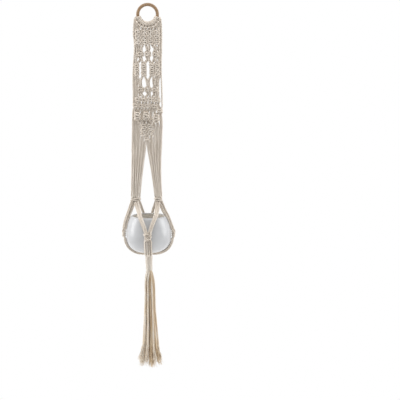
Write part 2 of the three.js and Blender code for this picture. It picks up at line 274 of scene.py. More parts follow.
def lay(strand):
    """Sweeps a strand, and cuts it where its label changes."""
    line, marks, length = even_line(strand.keys)
    radius = CORD_RADIUS * np.interp(marks, length[::SUBS], [drawn(label) for label in strand.labels])
    # The two strands of a lark's head are one cord: their plies meet at the middle of its bight.
    strand.phase = rng.uniform(0, 6.28)
    if strand.number % 2:
        strand.phase = -strands[strand.number - 1].phase - 4 * math.pi * BIGHT_LAP / PITCH
    rings, along = sweep(line, strand.phase, STRAND_OFFSET * strand.number, radius)
    cuts, names = [0], []
    for j in range(1, len(strand.keys)):
        if j + 1 == len(strand.keys) or strand.labels[j + 1] != strand.labels[j]:
            cuts.append(int(round(length[j * SUBS] / length[-1] * (len(marks) - 1))))
            names.append(strand.labels[j])
    for name, a, b in zip(names, cuts[:-1], cuts[1:]):
        if b > a:
            piles.setdefault(name, Pile()).tube(rings[a : b + 1], along[a : b + 1])


strands = [Strand(i) for i in range(2 * HEADS)]
order = list(range(2 * HEADS))      # which strand is at each position, left to right


def at(i):
    return strands[order[i]]


# ------------ knots
# One half knot, as shares of its half width, half depth and height. The front strand crosses over
# the cores from one side to the other; the back strand passes behind them and comes out over it.

FRONT_HALF = [
    (1.12, 0.30, 0.0), (1.06, -0.45, 0.20), (0.58, -1.02, 0.38),
    (0, -1.12, 0.5), (-0.58, -1.02, 0.62), (-1.06, -0.45, 0.80),
]
BACK_HALF = [
    (0.94, -1.05, 0.0), (1.10, -0.80, 0.20), (1.12, -0.10, 0.40), (0.80, 0.80, 0.48), (0, 1.08, 0.5),
    (-0.80, 0.80, 0.52), (-1.32, -0.10, 0.60), (-1.30, -0.80, 0.80),
]


def jitter(amount):
    return rng.uniform(-amount, amount)


def square_knots(first, last, place, halves, label, width, depth=4.1, half=HALF, cores=None, side=-1):
    """Ties the outer two of the strands at positions first to last round the ones between them."""
    left, right = at(first), at(last)
    front, back = (left, right) if side < 0 else (right, left)
    for i in range(halves):
        w = width * (1 + jitter(KNOT_VARIATION))
        d = depth * (1 + jitter(KNOT_VARIATION))
        for x, y, z in FRONT_HALF:
            front.go(label, place(side * w * x, d * y, (i + z) * half))
        for x, y, z in BACK_HALF:
            back.go(label, place(-side * w * x, d * y, (i + z) * half))
        side = -side
    bottom = halves * half
    front.go(label, place(side * width, 0.2 * depth, bottom))
    back.go(label, place(-side * width * 0.95, -0.6 * depth, bottom))
    cores = cores or [(-CORE_PLACE * width, 0), (CORE_PLACE * width, 0)]
    for j, (x, y) in enumerate(cores):
        core = at(first + 1 + j)
        core.go(label, place(x, y, 0), place(x, y, bottom / 2), place(x, y, bottom))
    if halves % 2:
        order[first], order[last] = order[last], order[first]


def upright(x0, z0, y0=0.0):
    """Places a knot's points in a column that hangs straight down from (x0, y0, z0)."""
    return lambda x, y, s: (x0 + x, y0 + y, z0 - s)


# ------------ lark's heads


def ring_place(degrees, lateral, y, outward):
    """A point by its angle along the ring and its place across the ring's bar."""
    angle = math.radians(degrees) + lateral / RING_RADIUS
    radius = RING_RADIUS + outward
    return (radius * math.sin(angle), y, RING_Z - radius * math.cos(angle))


# Lateral offset, angle round the bar from the front (90 is the ring's outside), distance from the
# bar's middle. It starts at the middle of the bight and ends where the strand hangs free.
BIGHT_LAP = 0.9         # how far each half of a head runs past the middle of its bight
HEAD_PATH = [
    (-BIGHT_LAP, 50, 12.1), (1.4, 51, 12.1), (2.9, 64, 10.8), (3.3, 90, 8.8), (3.1, 130, 7.5),
    (2.9, 170, 7.2), (2.6, 215, 7.0), (2.4, 255, 7.0), (2.2, 295, 7.0), (2.15, 330, 7.0),
    (2.1, 5, 7.0), (2.0, 34, 7.1), (1.9, 58, 7.6),
]
HEAD_SQUEEZE = 0.96     # how much narrower a head is than HEAD_PATH, between its neighbours
ROW_A_X = [-43.2, -39.4]
for centre, width in zip(ROW_A["x"], ROW_A["width"]):
    ROW_A_X += [centre - width, centre - 2, centre + 2, centre + width]
ROW_A_X += [38.6, 42.2]


def lay_head(head):
    label = f"larks_head_{head + 1:02d}"
    degrees = (head - (HEADS - 1) / 2) * HEAD_STEP
    for e, number in ((-1, 2 * head), (1, 2 * head + 1)):
        strand = strands[number]
        for lateral, around, distance in HEAD_PATH:
            a = math.radians(around)
            y, outward = -distance * math.cos(a), distance * math.sin(a)
            strand.go(label, ring_place(degrees, e * lateral * HEAD_SQUEEZE, y, outward))
        end = np.array(ring_place(degrees, e * 1.9, -1.8, 10.8))
        strand.go(label, end)
        target = ROW_A_X[number]
        share = 0.62 if abs(degrees) > 45 else 0.5
        z = end[2] + 0.4 * (ROW_A["top"] + 3 - end[2])
        strand.go(label, (end[0] + share * (target - end[0]), -0.5, z))
        if end[2] > -58:
            strand.go(label, (end[0] + 0.93 * (target - end[0]), 0, z + 0.55 * (ROW_A["top"] + 2 - z)))


for head in range(HEADS):
    lay_head(head)

# ------------ panel rows


def full_row(letter, row):
    """Four columns of knots side by side."""
    for j, (x, width) in enumerate(zip(row["x"], row["width"])):
        first = 2 + 4 * j
        x0, width = x + jitter(0.3), width + jitter(0.15)
        square_knots(first, first + 3, upright(x0, row["top"] + jitter(0.5)), row["halves"],
                     f"square_knots_{letter}{j + 1}", width)


# Where four strands lie between two knots, close together in two layers: offsets across and in depth.
BUNDLE = [(-4.0, -1.2), (-1.3, 2.0), (1.3, -2.0), (4.0, 1.2)]


def bundle(first, label, x, z, spread=1.0, depth=1.0):
    for k, (across, back) in enumerate(BUNDLE):
        at(first + k).go(label, (x + spread * across, depth * back, z))


def crossing_row(letter, row, above_bottom, next_row):
    """Knots tied from two halves of two columns; their strands gather, cross a gap and gather again."""
    below_top = next_row["top"]
    for j, (x, width) in enumerate(zip(row["x"], row["width"])):
        first = 4 + 4 * j
        label = f"crossing_knot_{letter}{j + 1}"
        top = row["top"] + jitter(0.4)
        bottom = top - row["halves"] * HALF
        for k in range(4):
            px, py, pz = at(first + k).keys[-1]
            at(first + k).go(label, (px + 0.1 * (row["above"][0][j] - px), 0.5 * py, pz - 4.0))
        bundle(first, label, row["above"][0][j], above_bottom - 11, 1.35, 0.9)
        bundle(first, label, row["above"][1][j], top + 3.2, 0.95)
        square_knots(first, first + 3, upright(x, top), row["halves"], label, width, 4.4)
        bundle(first, label, row["below"][0][j], bottom - 3.8, 1.15)
        bundle(first, label, row["below"][1][j], 0.5 * (bottom + below_top), 1.05)
        left = next_row["x"][j] + CORE_PLACE * next_row["width"][j]
        right = next_row["x"][j + 1] - CORE_PLACE * next_row["width"][j + 1]
        middle = row["below"][1][j]
        for k, px in enumerate((left, 0.5 * left + 0.5 * middle, 0.5 * right + 0.5 * middle, right)):
            at(first + k).go(label, (px, 0.6 * BUNDLE[k][1], below_top + 3.6))


def edges(points_by_position):
    """Strands that hang straight down beside the knots, by their position across the panel."""
    for i, points in points_by_position.items():
        at(i).go("outer_strands_left" if i < 10 else "outer_strands_right", *points)


full_row("a", ROW_A)
edges({
    0: [(-43.2, 0, -72), (-43.2, -0.6, -88), (-41.2, 0, -103), (-40.4, 0, -118), (-40.6, -0.8, -134),
        (-42.2, 0, -155), (-43.4, 0, -169)],
    1: [(-39.4, 1.8, -72), (-39.6, 2.0, -88), (-38.2, 2.2, -103), (-37.2, 2.2, -120), (-37.4, 2.2, -134),
        (-39.0, 2.0, -155), (-40.2, 2.2, -169)],
    19: [(42.2, 0, -72), (42.4, 0.5, -95), (41.8, 0, -125), (41.4, 0.5, -150), (40.6, 0, -168)],
    18: [(38.8, 1.8, -72), (39.0, 1.8, -95), (38.6, 2.0, -125), (38.4, 1.8, -150), (37.8, 2.4, -168)],
})
edges({
    2: [(-36.6, -0.8, -118), (-34.0, -1.0, -128), (-34.2, -1.2, -140), (-36.2, -0.8, -154), (-38.6, 0, -166)],
    3: [(-31.6, 0.9, -119), (-31.0, 1.8, -130), (-31.4, 1.8, -146), (-34.6, 1.0, -164)],
    17: [(36.2, -0.6, -119), (35.8, -1.2, -130), (35.8, -1.2, -146), (34.4, 0, -164)],
    16: [(32.4, 1.2, -119), (32.6, 1.9, -130), (32.4, 1.9, -146), (31.4, 0.8, -164)],
})
crossing_row("b", ROW_B, -117, ROW_C)
full_row("c", ROW_C)
edges({
    0: [(-43.8, 0, -172), (-44.8, 0.8, -195), (-45.6, 0, -220), (-45.3, -0.5, -250), (-45.2, 0, -273)],
    1: [(-40.8, 2.2, -172), (-41.2, 2.0, -195), (-41.4, 1.0, -220), (-40.9, 0.8, -250), (-40.8, 0.6, -273)],
    18: [(38.4, 2.4, -172), (38.2, 2.2, -195), (36.6, 1.6, -213), (33.0, 0.6, -226), (32.6, 0.4, -262),
         (32.6, 0.4, -273)],
    19: [(40.7, 0, -172), (40.6, -0.8, -195), (41.2, 0, -220), (42.2, 0, -250), (42.8, 0.4, -273)],
})
edges({
    2: [(-37.4, -0.6, -221), (-36.8, -1.2, -248), (-36.6, 0, -273)],
    3: [(-33.6, 1.4, -221), (-32.8, 1.6, -248), (-32.6, 0, -273)],
    17: [(31.4, -1.4, -221), (31.0, -1.8, -248), (31.2, -0.6, -273)],
    16: [(28.2, 1.6, -221), (28.8, 1.8, -248), (28.4, 0.8, -273)],
})
crossing_row("d", ROW_D, -214, LATTICE_A)

# ------------ lattice


def lattice_label(x):
    """The part of the lattice that a knot or strand at x belongs to."""
    return "lattice_left" if x < -21 else "lattice_right" if x > 19 else "lattice_centre"


def lattice_knot(first, x, top, width):
    square_knots(first, first + 3, upright(x, top), 2, lattice_label(x), width, 4.3)


def lattice_pass(i, *points):
    """The strand at position i passes through the lattice without being tied."""
    for p in points:
        at(i).go(lattice_label(p[0]), p)


def spread(z, left, right, places):
    """Strands side by side at one height, every other one a little behind."""
    for i in places:
        x = left + (right - left) * i / (len(strands) - 1)
        lattice_pass(i, (x, 0.9 * (-1) ** i, z))


for j, (x, width) in enumerate(zip(LATTICE_A["x"], LATTICE_A["width"])):
    lattice_knot(2 + 4 * j, x, LATTICE_A["top"] - [0, 2, 0, 2][j], width)
lattice_pass(0, (-45.2, 0, -290))
lattice_pass(1, (-40.8, 0.4, -290))
at(18).go("lattice_right", (32.8, 1.2, -290), (33.4, 0.8, -303))
at(19).go("lattice_right", (43.0, 0, -290), (43.2, 0, -309))
for j, x in enumerate([-38.2, -20.0, -0.2, 19.8, 36.0]):
    lattice_knot(4 * j, x, [-297, -297, -298, -299, -313][j], [5.8, 6.9, 7.1, 6.9, 5.8][j])

# Berry knots: a short column rolled into a ball on the front. First position, middle and top of each.
BERRIES = {"left": (2, -33.2, -325), "centre": (8, -5.4, -325), "right": (14, 24.6, -332)}


def berry(name):
    first, x0, top = BERRIES[name]
    radius = 7.0

    def place(x, y, s):
        """A point of the column, bent round the ball's middle from 70 degrees above it."""
        angle = math.radians(70) - s / radius
        reach = radius + 2.0 - y
        slim = 1 - 0.14 * math.sin(angle) ** 2
        return (x0 + x * slim, -1.8 - reach * math.cos(angle), top - 11 + reach * math.sin(angle) * 0.95)

    label = f"berry_knot_{name}"
    for i in range(first, first + 4):
        place_in_four = i - first - 1.5
        at(i).go(lattice_label(x0), (x0 + place_in_four * 4.2, 0.5, top + 3),
                 (x0 + place_in_four * 4.0, -1.5, top - 2.0))
    square_knots(first, first + 3, place, 4, label, 6.6, 4.2, 4.2, side=1)
    for i in range(first, first + 4):
        x = x0 + (i - first - 1.5) * 4.1
        at(i).go(label, (x, -2.5, top - 20.5))
        at(i).go(lattice_label(x0), (x, 0.4, top - 24))


spread(-317, -46.0, 41.4, range(16))
for name in BERRIES:
    berry(name)

lattice_pass(0, (-47.2, 0, -332), (-47.8, 0.5, -352), (-48.4, 0, -379), (-49.0, -0.5, -408))
lattice_pass(1, (-42.9, 0.8, -332), (-43.2, 0, -352), (-43.8, -0.5, -379), (-44.4, 0.5, -408))
lattice_pass(2, (-39.0, 0, -354), (-39.2, 0, -379), (-39.8, 0.5, -408))
lattice_pass(3, (-34.6, 0.5, -354), (-34.7, 0, -379), (-35.1, -0.5, -408))
lattice_pass(6, (-21.6, 1.8, -328), (-21.2, 2.2, -338))
lattice_pass(7, (-17.0, 1.8, -328), (-17.2, 2.2, -338))
lattice_pass(12, (6.6, 1.8, -327), (6.4, 2.2, -338))
lattice_pass(13, (11.6, 1.8, -327), (11.6, 2.2, -338))
lattice_knot(4, -23.2, -344, 6.2)
lattice_knot(12, 13.4, -344, 6.6)
for i, x in ((4, -30.1), (5, -25.6)):
    lattice_pass(i, (x, 0, -366), (x - 0.3, 0.5, -406))
for i, x in ((14, 18.0), (15, 22.8), (16, 27.6), (17, 32.6)):
    lattice_pass(i, (x, 0.4 * (-1) ** i, -368), (x - 0.4, 0.4, -406))
lattice_pass(18, (36.6, 0.4, -330), (37.6, 0.5, -352), (37.6, 0, -379), (36.8, 0.5, -408))
lattice_pass(19, (41.0, 0, -331), (42.5, 0, -350), (42.2, 0.5, -379), (41.0, 0, -408))
square_knots(6, 9, upright(-13.4, -358), 6, "closing_knots_left", 6.3, 4.6, 6.6)
square_knots(10, 13, upright(5.8, -358), 6, "closing_knots_right", 6.3, 4.6, 6.6)
for i, x in ((6, -20.9), (7, -16.2), (12, 7.4), (13, 12.2)):
    lattice_pass(i, (x, 0.6, -408))
square_knots(8, 11, upright(APEX_X, -400), 2, "apex_knot", 5.6, 4.2, 5.4)

# ------------ legs

LEG_TOP_X = [-49.8 + 4.52 * i for i in range(10)] + [-1.2 + 4.55 * i for i in range(10)]
LEG_BOW = [(0.5, -1.2), (1.0, -2.7)]     # how far each leg's left and right edge bows sideways
LEG_KEYS = 8                             # key points down a leg

# Where a leg's ten strands lie in its gather knot, across and in depth.
GATHER_SLOTS = [(-8.8, 0), (-5.0, -2.1), (-5.0, 2.1), (-1.7, -2.1), (-1.7, 2.1),
                (1.7, -2.1), (1.7, 2.1), (5.0, -2.1), (5.0, 2.1), (8.8, 0)]


def lay_leg(side):
    """Ten strands from the panel to their gather knot; side is 0 for the left leg and 1 for the right."""
    name = ("left", "right")[side]
    for j in range(10):
        i = 10 * side + j
        top_x = LEG_TOP_X[i]
        slot_x, slot_y = GATHER_SLOTS[j]
        bottom_x = GATHER_X[side] + GATHER_SPREAD[side] * slot_x
        bow = LEG_BOW[side][0] + (LEG_BOW[side][1] - LEG_BOW[side][0]) * j / 9
        wave, turn = rng.uniform(0.3, 0.9), rng.uniform(0, 6.28)
        parting = APEX_X + 4.75 * (i - 9.5)
        behind = 0.8 * (-1) ** j
        at(i).go(f"lattice_{name}", (parting, 0.6 * (-1) ** j, -418),
                 (top_x + 0.004 * (bottom_x - top_x), behind, PANEL_BOTTOM))
        for k in range(1, LEG_KEYS + 1):
            z = PANEL_BOTTOM + k * (GATHER_TOP + 4 - PANEL_BOTTOM) / LEG_KEYS
            t = k / LEG_KEYS
            x = top_x + (bottom_x - top_x) * t + bow * math.sin(math.pi * t)
            x += wave * math.sin(turn + 5 * t) * (1 - t)
            y = (1 - t) * behind + t * slot_y * 1.05 + wave * math.cos(turn + 6 * t) * (1 - t)
            if z < LEG_SPLIT and at(i).keys[-1][2] > LEG_SPLIT:
                last = at(i).keys[-1]
                u = (LEG_SPLIT - last[2]) / (z - last[2])
                at(i).go(f"leg_{name}", tuple(last + u * (np.array([x, y, z]) - last)))
            at(i).go(f"leg_{name}" if z >= LEG_SPLIT else f"leg_{name}_lower", (x, y, z))
    share = GATHER_SPREAD[side]
    cores = [(x * share * 0.96, y) for x, y in GATHER_SLOTS[1:9]]
    square_knots(10 * side, 10 * side + 9, upright(GATHER_X[side], GATHER_TOP), 2, f"gather_knot_{name}",
                 7.6 * share, 5.6, 5.4, cores=cores, side=-1 if side else 1)


lay_leg(0)
lay_leg(1)

# ------------ pot


def pot_radius(z):
    """Outside radius of the pot: an ellipse above the belly, and a fuller curve below it."""
    power, reach = (2, 96.5) if z > POT_BELLY else (2.6, 57.2)
    return POT_RADIUS * max(1 - (abs(z - POT_BELLY) / reach) ** power, 0.0) ** (1 / power)


def pot_normal(z):
    """Outward unit normal of the pot's wall as (radial, up)."""
    slope = pot_radius(z + 0.5) - pot_radius(z - 0.5)
    scale = 1 / math.hypot(1, slope)
    return scale, -slope * scale


# ------------ cradle


def along_route(indices, label, route, slots, facing, twist=0.0, squeeze_end=1.0):
    """Strands side by side along a route; slots are their offsets across it and to the side it faces."""
    line = smooth(route, 4)
    tangent = tangents(line)
    for i, (across, out) in zip(indices, slots):
        for k in range(0, len(line), 2):
            t = k / (len(line) - 1)
            outward = np.array(facing, float)
            outward -= tangent[k] * (outward @ tangent[k])
            outward /= np.linalg.norm(outward)
            sideways = np.cross(tangent[k], outward)
            turn = twist * t
            c, s = math.cos(turn), math.sin(turn)
            a, o = across * c - out * s, across * s + out * c
            f = 1 + (squeeze_end - 1) * t
            at(i).go(label, line[k] + f * (a * sideways + o * outward))


FLAT_SLOTS = [(-5.6, 0.6), (-1.9, -0.9), (1.9, 0.9), (5.6, -0.6)]
REAR_SLOTS = [(-1.6, 1.6), (1.6, -1.6)]
ARMS = [
    {"name": "left", "facing": -1, "side_twist": 0.0,
     "outer": [0, 1, 2, 3], "inner": [9, 7, 5, 4], "rear": [8, 6],
     "side_slots": [(1.2, 6.3), (-1.8, 2.1), (1.8, -2.1), (-1.2, -6.3)],
     "side_route": [(-47.2, 0, -604), (-51.6, 0, -613), (-55.4, 0, -624), (-59.6, 0, -635),
                    (-64.6, 0, -648), (-69.4, 0, -661), (-72.8, 0, -674), (-75.0, 0, -687)],
     "front_route": [(-37.6, -5, -604), (-33.6, -14, -617), (-28.6, -31, -630), (-25.4, -49.5, -641),
                     (-21.2, -59, -650), (-14.8, -69, -664), (-8.2, -75.4, -682)],
     "back_route": [(-29, 4, -602), (-25.4, 18, -615), (-22.0, 38, -631), (-18.6, 58, -646.5),
                    (-13, 68, -664), (-5, 73, -684)]},
    {"name": "right", "facing": 1, "side_twist": 0.5,
     "outer": [19, 18, 17, 16], "inner": [15, 14, 12, 10], "rear": [13, 11],
     "side_slots": [(1.2, 5.7), (-1.8, 1.9), (1.8, -1.9), (-1.2, -5.7)],
     "side_route": [(36.8, 0, -604), (41.0, -1, -613), (45.6, -4, -624), (51.4, -8, -635),
                    (58.4, -10, -647), (63.6, -10, -660), (68.2, -7, -673), (73.2, -2, -687)],
     "front_route": [(28.8, -5, -604), (28.2, -14, -617), (26.4, -31, -630), (23.4, -50, -641),
                     (19.6, -60, -650), (13.6, -69.4, -664), (7.6, -75.6, -682)],
     "back_route": [(22.4, 4, -602), (18.6, 18, -615), (13.6, 38, -631), (9.6, 58, -646.5),
                    (7, 68, -664), (5, 73, -684)]},
]


def lay_arms(arms):
    """Each leg parts into a side arm, a front arm over the pot, and a thin arm over its back rim."""
    name = arms["name"]
    along_route(arms["outer"], f"side_arm_{name}", arms["side_route"], arms["side_slots"],
                (arms["facing"], 0, 0), arms["side_twist"], 0.72)
    along_route(arms["inner"], f"front_arm_{name}", arms["front_route"], FLAT_SLOTS, (0, -1, 0), 0.0, 0.62)
    along_route(arms["rear"], f"back_arm_{name}", arms["back_route"], REAR_SLOTS, (0, 1, 0), 0.3)


for arms in ARMS:
    lay_arms(arms)


def quarter_turns(q):
    """Cosine and sine of q quarter turns."""
    return round(math.cos(q * math.pi / 2)), round(math.sin(q * math.pi / 2))


def lay_belly(knot, band, q, positions, top, distance, size, cores, band_slots):
    """A belly knot q quarter turns round from the front, and its strands, which pass under the pot.

    size is the knot's half width and half depth. band_slots are the strands' offsets across the band
    and out from the pot.
    """
    c, s = quarter_turns(q)

    def rotate(p):
        return (p[0] * c - p[1] * s, p[0] * s + p[1] * c, p[2])

    def across(number):
        x, y, _ = strands[number].keys[-1]
        return x * c + y * s

    def place(x, y, down):
        slim = 1 - 0.010 * down
        return rotate((x * slim, -distance + y * slim, top - down))

    kept = order[:]
    order[:] = sorted([kept[i] for i in positions], key=across)
    square_knots(0, len(positions) - 1, place, 3, knot, *size, cores=cores)
    final = sorted(order, key=across)
    order[:] = kept
    for number, (offset, layer) in zip(final, band_slots):
        points = []
        for z in (top - 25, top - 32, -733, -743, -750, -755.5):
            out, up = pot_normal(z)
            clear = (3.1 if z > -730 else 2.8) + layer
            points.append((offset, -(pot_radius(z) + clear * out), z + clear * up))
        low = POT_BOTTOM - 4.4 - layer
        points.append((offset * 0.9, -33, low + 0.6))
        points.append((offset * 0.75, -24, low - 0.6))
        points.append((offset * 0.62, -16, low - 1.2))
        strands[number].go(band, *[rotate(p) for p in points])
    return final


FRONT_CORES = [(-5.4, -1.9), (-5.2, 1.9), (-1.8, -2.1), (1.8, 2.1), (1.8, -2.1), (5.2, 1.9)]
FRONT_BAND = [(-10.2, 0.2), (-9.2, 4.3), (-3.7, 0.0), (-3.0, 4.4),
              (2.8, 0.1), (3.4, 4.2), (9.0, 0.2), (9.9, 4.4)]
SIDE_BAND = [(-3.6, 0.3), (-1.9, 4.0), (2.2, 0), (3.4, 3.6)]
BACK_BAND = [(-6.2, 0), (-2.1, 0.3), (2.1, 0), (6.2, 0.3)]
FRONT_SIZE = (8.4, 5.2)
SMALL_SIZE = (5.2, 4.2)
LEFT, RIGHT = ARMS
front_ids = lay_belly("front_knot", "front_tail", 0, LEFT["inner"] + RIGHT["inner"], BELLY_TOP, 77.7,
                      FRONT_SIZE, FRONT_CORES, FRONT_BAND)
right_ids = lay_belly("side_knot_right", "side_tail_right", 1, RIGHT["outer"], BELLY_TOP - 4, 76.8,
                      SMALL_SIZE, None, SIDE_BAND)
back_ids = lay_belly("back_knot", "back_tail", 2, LEFT["rear"] + RIGHT["rear"], BELLY_TOP, 76.6,
                     SMALL_SIZE, None, BACK_BAND)
left_ids = lay_belly("side_knot_left", "side_tail_left", 3, LEFT["outer"], BELLY_TOP - 4, 76.8,
                     SMALL_SIZE, None, SIDE_BAND)

# ------------ under the pot, and the tassel


def polar(angle, radius, z, x0=0.0):
    a = math.radians(angle)
    return (x0 + radius * math.cos(a), radius * math.sin(a), z)


def lean(z):
    """How far the wrap's middle stands to the right at a height."""
    t = min(max((z - WRAP_TOP) / (WRAP_BOTTOM - WRAP_TOP), 0), 1)
    return WRAP_LEAN * t * t


TASSEL_TOP = -812
TASSEL_RADII = [(-812, 5.4), (-818, 6.6), (-825, 9.6), (-845, 13.8), (-868, 15.4), (-932, 16.8),
                (-997, 19.8), (-1061, 24.8), (-1077, 26.6), (-1110, 29.0)]
TASSEL_HEIGHTS = [-826, -836, -850, -868, -890, -915, -945, -975, -1005, -1030, -1055]


def tassel_radius(z):
    drops = [-height for height, _ in TASSEL_RADII]
    return float(np.interp(-z, drops, [radius for _, radius in TASSEL_RADII]))


# The four bands come in to the wrap from four sides: strands, direction and half the angle they fill.
groups = [(front_ids, -90, 66), (right_ids, 0, 40), (back_ids, 90, 40), (left_ids, 180, 40)]
members = []
for ids, middle, half_angle in groups:
    for k, number in enumerate(ids):
        angle = middle + ((k + 0.5) / len(ids) * 2 - 1) * half_angle
        members.append((angle % 360, 5.0 if k % 3 == 1 else 8.2, number))

# Twenty places spread evenly over a disc, taken in turn round it by the strands.
places = [(math.sqrt((k + 0.5) / 20), (137.5 * k + 40) % 360) for k in range(20)]
places.sort(key=lambda place: place[1])
members.sort()
tassel_lines = {}
for (angle, entry, number), (share, spread_angle) in zip(members, places):
    strand = strands[number]
    strand.go("bottom_gather", polar(angle, entry + 1.6, -766.2), polar(angle, entry - 0.8, -770.5),
              polar(angle, entry - 1.6, -775.5))
    turn_by = (spread_angle - angle + 180) % 360 - 180
    sway, turn = rng.uniform(0.8, 2.2), rng.uniform(0, 6.28)
    tip = rng.uniform(-1100, -1070)
    free = Strand(number)
    free.go("free", polar(angle, 0.5 * entry + 1.0, TASSEL_TOP, lean(TASSEL_TOP)),
            polar(angle, 0.55 * entry + 1.6, TASSEL_TOP - 6, lean(TASSEL_TOP - 6)))
    for z in [*TASSEL_HEIGHTS, tip]:
        t = (TASSEL_HEIGHTS[0] - z) / 250
        opened = min((TASSEL_TOP - 6 - z) / 26, 1)
        radius = tassel_radius(z) * (0.8 + opened * (min(share * 1.06, 1) - 0.8))
        x, y, _ = polar(angle + turn_by * opened, radius, z, WRAP_LEAN + 0.8 * min(t * 3, 1) + 0.8 * t)
        free.go("free", (x + sway * t * math.sin(turn + 7 * t), y + sway * t * math.cos(turn + 6 * t), z))
    tassel_lines[number] = free

# ------------ materials


def new_material(name, roughness):
    material = bpy.data.materials.new(name)
    material.use_nodes = True
    shader = material.node_tree.nodes["Principled BSDF"]
    shader.inputs["Roughness"].default_value = roughness
    return material, material.node_tree, shader


def add(tree, kind, **settings):
    node = tree.nodes.new(kind)
    for key, value in settings.items():
        if hasattr(node, key):
            setattr(node, key, value)
        else:
            node.inputs[key].default_value = value
    return node


def calc(tree, operation, a, b=None):
    """A Math node on numbers or other nodes' results."""
    node = tree.nodes.new("ShaderNodeMath")
    node.operation = operation
    for slot, value in enumerate((a, b)):
        if value is None:
            continue
        if isinstance(value, (int, float)):
            node.inputs[slot].default_value = value
        else:
            tree.links.new(value, node.inputs[slot])
    return node.outputs[0]


def ramp(tree, factor, stops):
    node = tree.nodes.new("ShaderNodeValToRGB")
    elements = node.color_ramp.elements
    while len(elements) < len(stops):
        elements.new(0.5)
    for element, (position, colour) in zip(elements, stops):
        element.position = position
        element.color = (*colour, 1)
    tree.links.new(factor, node.inputs[0])
    return node.outputs[0]


def blend_colours(tree, a, b, kind="MULTIPLY", factor=1.0):
    node = tree.nodes.new("ShaderNodeMix")
    node.data_type = "RGBA"
    node.blend_type = kind
    if isinstance(factor, (int, float)):
        node.inputs[0].default_value = factor
    else:
        tree.links.new(factor, node.inputs[0])
    for slot, value in ((6, a), (7, b)):
        if isinstance(value, tuple):
            node.inputs[slot].default_value = (*value, 1)
        else:
            tree.links.new(value, node.inputs[slot])
    return node.outputs[2]


def scaled(tree, value, factor, offset):
    """value times factor, plus offset."""
    return calc(tree, "ADD", calc(tree, "MULTIPLY", value, factor), offset)


def noise(tree, place, **settings):
    node = add(tree, "ShaderNodeTexNoise", **settings)
    tree.links.new(place, node.inputs["Vector"])
    return node.outputs[0]


def add_bump(tree, shader, height, strength, distance):
    node = add(tree, "ShaderNodeBump", Strength=strength, Distance=distance)
    tree.links.new(height, node.inputs["Height"])
    tree.links.new(node.outputs[0], shader.inputs["Normal"])


def round_a_tube(tree, across, along):
    """The angle round a tube, the length along it, and a place made of both that has no seam."""
    uv = add(tree, "ShaderNodeUVMap", uv_map="cord")
    split = tree.nodes.new("ShaderNodeSeparateXYZ")
    tree.links.new(uv.outputs[0], split.inputs[0])
    turn = calc(tree, "MULTIPLY", split.outputs[0], 2 * math.pi)
    place = tree.nodes.new("ShaderNodeCombineXYZ")
    for slot, operation in enumerate(("COSINE", "SINE")):
        wave = calc(tree, operation, turn)
        tree.links.new(calc(tree, "MULTIPLY", wave, across), place.inputs[slot])
    tree.links.new(calc(tree, "MULTIPLY", split.outputs[1], along), place.inputs[2])
    return turn, split.outputs[1], place.outputs[0]


def cotton_material(name, light, dark, groove_shade_colour, tints, faded):
    """Twisted cotton: fibres along the plies, painted shade in the grooves between them, slow colour drift.
    """
    material, tree, shader = new_material(name, 0.92)
    turn, v, fibre_place = round_a_tube(tree, 5.0, 0.35)
    lobes = calc(tree, "COSINE", calc(tree, "MULTIPLY", turn, 3))
    fibre = noise(tree, fibre_place, Scale=1.6, Detail=3.0, Roughness=0.65)
    slow_place = tree.nodes.new("ShaderNodeCombineXYZ")
    tree.links.new(calc(tree, "MULTIPLY", v, 0.02), slow_place.inputs[0])
    slow = noise(tree, slow_place.outputs[0], Scale=1.0, Detail=2.0)
    # Each strand has its own number, and its own tint from it.
    own = tree.nodes.new("ShaderNodeTexWhiteNoise")
    own.noise_dimensions = "1D"
    strand_number = calc(tree, "FLOOR", calc(tree, "MULTIPLY", v, 1 / STRAND_OFFSET))
    tree.links.new(strand_number, own.inputs["W"])
    tint = ramp(tree, own.outputs["Value"], tints)
    tone = ramp(tree, fibre, [(0.3, dark), (0.62, light)])
    tone = blend_colours(tree, tone, tint)
    drift = ramp(tree, slow, [(0.35, faded), (0.62, PLAIN)])
    tone = blend_colours(tree, tone, drift)
    # Painted shade: the grooves between the plies are mixed towards the groove shade colour, which stands in
    # for the shade that falls into them.
    depth = calc(tree, "MULTIPLY", calc(tree, "SUBTRACT", 1, lobes), 0.5)
    depth = calc(tree, "MULTIPLY", calc(tree, "POWER", depth, 3), 0.75)
    tone = blend_colours(tree, tone, groove_shade_colour, "MIX", depth)
    tree.links.new(tone, shader.inputs["Base Color"])
    tree.links.new(scaled(tree, fibre, 0.16, 0.8), shader.inputs["Roughness"])
    add_bump(tree, shader, scaled(tree, lobes, 0.25, fibre), 0.55, 0.0004)
    shader.inputs["Sheen Weight"].default_value = 0.25
    shader.inputs["Sheen Roughness"].default_value = 0.5
    shader.inputs["Specular IOR Level"].default_value = 0.2
    return material


def wood_material():
    material, tree, shader = new_material("ring_wood", 0.5)
    _, _, place = round_a_tube(tree, 3.0, 0.05)
    grain = noise(tree, place, Scale=1.5, Detail=6.0, Roughness=0.6, Distortion=0.6)
    tone = ramp(tree, grain, [
        (0.28, (0.13, 0.07, 0.032)), (0.46, (0.26, 0.16, 0.085)),
        (0.60, (0.36, 0.235, 0.135)), (0.8, (0.43, 0.30, 0.18)),
    ])
    tree.links.new(tone, shader.inputs["Base Color"])
    tree.links.new(scaled(tree, grain, 0.25, 0.34), shader.inputs["Roughness"])
    add_bump(tree, shader, grain, 0.25, 0.0002)
    return material


